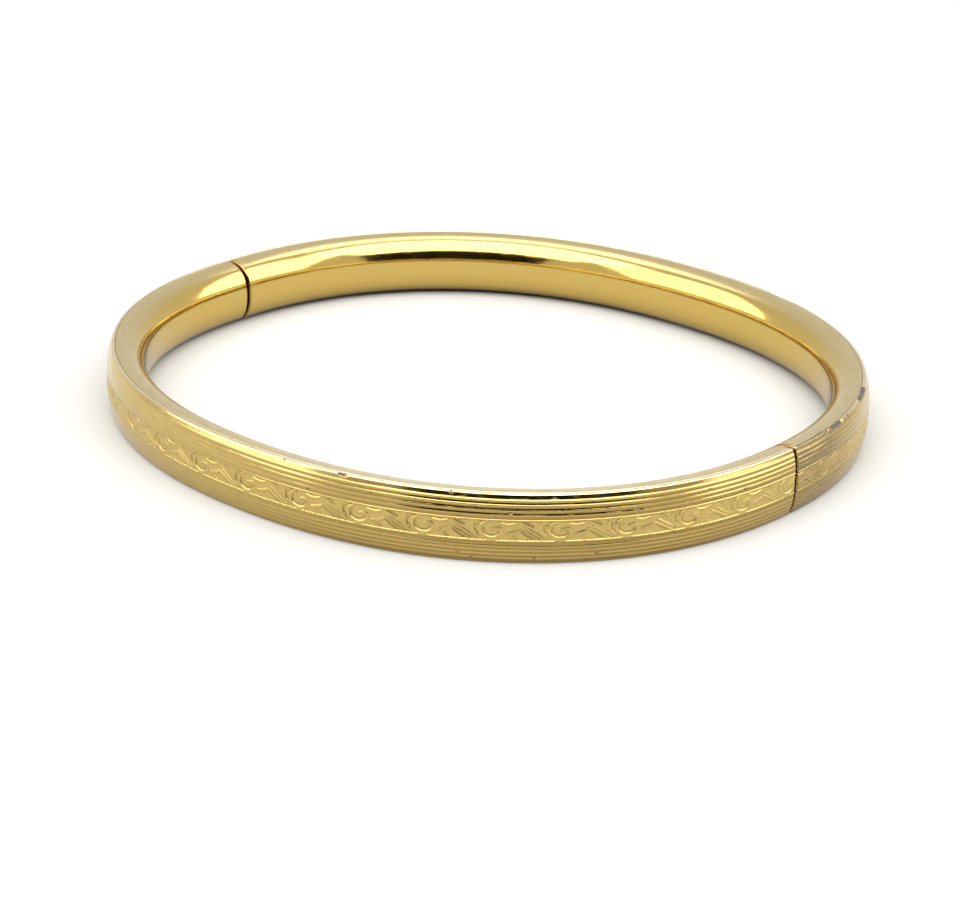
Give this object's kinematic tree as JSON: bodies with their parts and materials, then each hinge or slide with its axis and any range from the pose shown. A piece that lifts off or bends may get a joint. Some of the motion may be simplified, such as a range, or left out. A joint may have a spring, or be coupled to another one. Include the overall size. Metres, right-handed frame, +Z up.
{
  "type": "hinged bangle bracelet",
  "caption": "Oval hinged bangle of two hollow D-section halves with an engraved outer band, an upright pin hinge and a spring tongue clasp.",
  "frame": {"origin": "centre of the bangle's plan outline, knuckles included, on the surface it lies on", "axes": "+X along the long axis of the oval towards the clasp, +Y towards the half that swings open, +Z up out of the lying bangle"},
  "size_m": [0.0632, 0.0588, 0.0055],
  "materials": {
    "engraved_gold": "worn gold-filled skin with rolled reeds and an engraved scroll band",
    "plain_gold": "polished gold-filled skin with fine scratches",
    "clasp_brass": "satin brass",
    "pin_steel": "drawn wire, riveted at both ends"
  },
  "bodies": {
    "front_half": {"front_engraved_strip": "engraved_gold", "front_inner_liner": "plain_gold", "front_hinge_end_plate": "clasp_brass", "front_clasp_end_plate": "clasp_brass", "front_hinge_leaf": "clasp_brass", "catch_box": "clasp_brass", "hinge_pin": "pin_steel", "hinge_knuckle_1": "plain_gold", "hinge_knuckle_3": "plain_gold", "hinge_knuckle_5": "plain_gold"},
    "back_half": {"back_engraved_strip": "engraved_gold", "back_inner_liner": "plain_gold", "back_hinge_end_plate": "clasp_brass", "back_clasp_end_plate": "clasp_brass", "back_hinge_leaf": "clasp_brass", "tongue_blade": "clasp_brass", "hinge_knuckle_2": "plain_gold", "hinge_knuckle_4": "plain_gold"},
    "clasp_spring": {"spring_leaf": "clasp_brass"}
  },
  "joints": [
    {"name": "bangle_hinge", "type": "hinge", "parent": "front_half", "child": "back_half", "pos_m": [-0.0309, 0, 0.00273], "axis": [0, 0, 1], "range_deg": [0, 60]},
    {"name": "clasp_spring_flex", "type": "hinge", "parent": "back_half", "child": "clasp_spring", "pos_m": [0.03031, -0.00395, 0.00273], "axis": [0, 0, -1], "range_deg": [0, 3.5], "stiffness_Nm_per_rad": 0.02, "springref_deg": 4.01}
  ]
}
